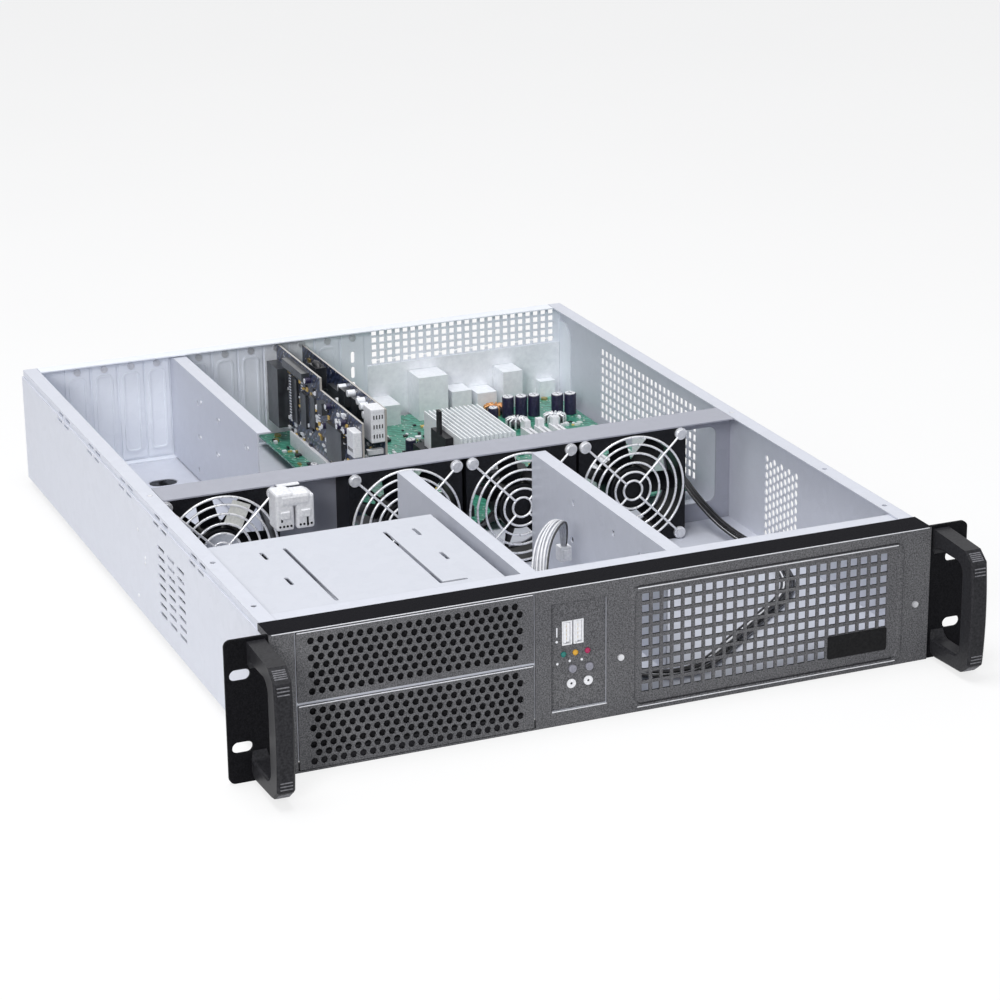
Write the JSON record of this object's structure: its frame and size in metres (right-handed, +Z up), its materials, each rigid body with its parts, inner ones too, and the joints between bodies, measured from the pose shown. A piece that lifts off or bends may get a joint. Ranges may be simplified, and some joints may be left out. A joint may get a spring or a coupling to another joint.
{
  "type": "rackmount server case",
  "caption": "Open two-unit rackmount server case with folded steel tray, black front panel, rack ears with handles, fan wall, board and cards.",
  "frame": {"origin": "centre of the plane where the rack ears meet the rack", "axes": "+X to the right seen from the front, +Y to the rear, +Z up"},
  "size_m": [0.4826, 0.6068, 0.088],
  "materials": {
    "galvanised": "galvanised, satin",
    "black_paint": "fine textured black powder coat",
    "black_plastic": "moulded, satin",
    "white_plastic": "moulded, satin",
    "bright_wire": "bright plated wire",
    "screw_steel": "bright zinc plated",
    "green_board": "solder mask over glass fibre",
    "blue_board": "dark solder mask over glass fibre",
    "chip_black": "moulded chip body",
    "sink_metal": "extruded, bright",
    "capacitor_can": "sleeved can",
    "port_metal": "tinned, bright",
    "light_lens": "tinted lens",
    "brass_post": "turned",
    "lead_sleeve": "soft grey and white insulation"
  },
  "bodies": {
    "case": {"chassis_tray": "galvanised", "rear_panel": "galvanised", "front_subpanel": "galvanised", "front_bezel": "black_paint", "bay_cover_upper": "black_paint", "bay_cover_lower": "black_paint", "rack_ear_left": "black_paint", "rack_ear_right": "black_paint", "handle_left": "black_plastic", "handle_right": "black_plastic", "ear_screws": "screw_steel", "control_panel": "black_paint", "control_board": "green_board", "usb_ports": "white_plastic", "status_leds": "light_lens", "pin_collars": "white_plastic", "panel_screws": "screw_steel", "label_plate": "black_plastic", "drive_cage": "galvanised", "partition_left": "galvanised", "partition_right": "galvanised", "fan_wall": "galvanised", "fan_screws": "screw_steel", "power_plugs": "white_plastic", "slot_covers_left": "galvanised", "slot_covers_right": "galvanised", "slot_cover_vented": "galvanised", "slot_screws": "screw_steel", "rear_divider": "galvanised", "motherboard": "green_board", "board_standoffs": "brass_post", "expansion_slots": "white_plastic", "board_sockets": "white_plastic", "board_chips": "chip_black", "capacitors_and_coils": "capacitor_can", "cpu_socket": "white_plastic", "cpu_heatsink": "sink_metal", "heatsink_frame": "black_plastic", "port_plate": "port_metal", "port_sockets": "port_metal", "card_1": "blue_board", "card_2": "blue_board", "card_brackets": "port_metal", "panel_leads": "lead_sleeve", "floor_leads": "lead_sleeve", "lead_plugs": "white_plastic", "fan_frame_1": "black_plastic", "finger_guard_1": "bright_wire", "fan_frame_2": "black_plastic", "finger_guard_2": "bright_wire", "fan_frame_3": "black_plastic", "finger_guard_3": "bright_wire", "fan_frame_4": "black_plastic", "finger_guard_4": "bright_wire"},
    "power_button": {"power_button": "black_plastic"},
    "reset_button": {"reset_button": "black_plastic"},
    "rotor_1": {"fan_rotor_1": "black_plastic"},
    "rotor_2": {"fan_rotor_2": "black_plastic"},
    "rotor_3": {"fan_rotor_3": "black_plastic"},
    "rotor_4": {"fan_rotor_4": "black_plastic"}
  },
  "joints": [
    {"name": "fan_1_spin", "type": "hinge", "parent": "case", "child": "rotor_1", "pos_m": [-0.166, 0.2528, 0.003], "axis": [0, 1, 0], "continuous": true},
    {"name": "fan_2_spin", "type": "hinge", "parent": "case", "child": "rotor_2", "pos_m": [-0.038, 0.2528, 0.003], "axis": [0, 1, 0], "continuous": true},
    {"name": "fan_3_spin", "type": "hinge", "parent": "case", "child": "rotor_3", "pos_m": [0.045, 0.2528, 0.003], "axis": [0, 1, 0], "continuous": true},
    {"name": "fan_4_spin", "type": "hinge", "parent": "case", "child": "rotor_4", "pos_m": [0.127, 0.2528, 0.003], "axis": [0, 1, 0], "continuous": true},
    {"name": "power_press", "type": "slide", "parent": "case", "child": "power_button", "axis": [0, 1, 0], "range_m": [0, 0.001], "stiffness_N_per_m": 300, "springref_m": -0.0005},
    {"name": "reset_press", "type": "slide", "parent": "case", "child": "reset_button", "axis": [0, 1, 0], "range_m": [0, 0.001], "stiffness_N_per_m": 300, "springref_m": -0.0005}
  ]
}
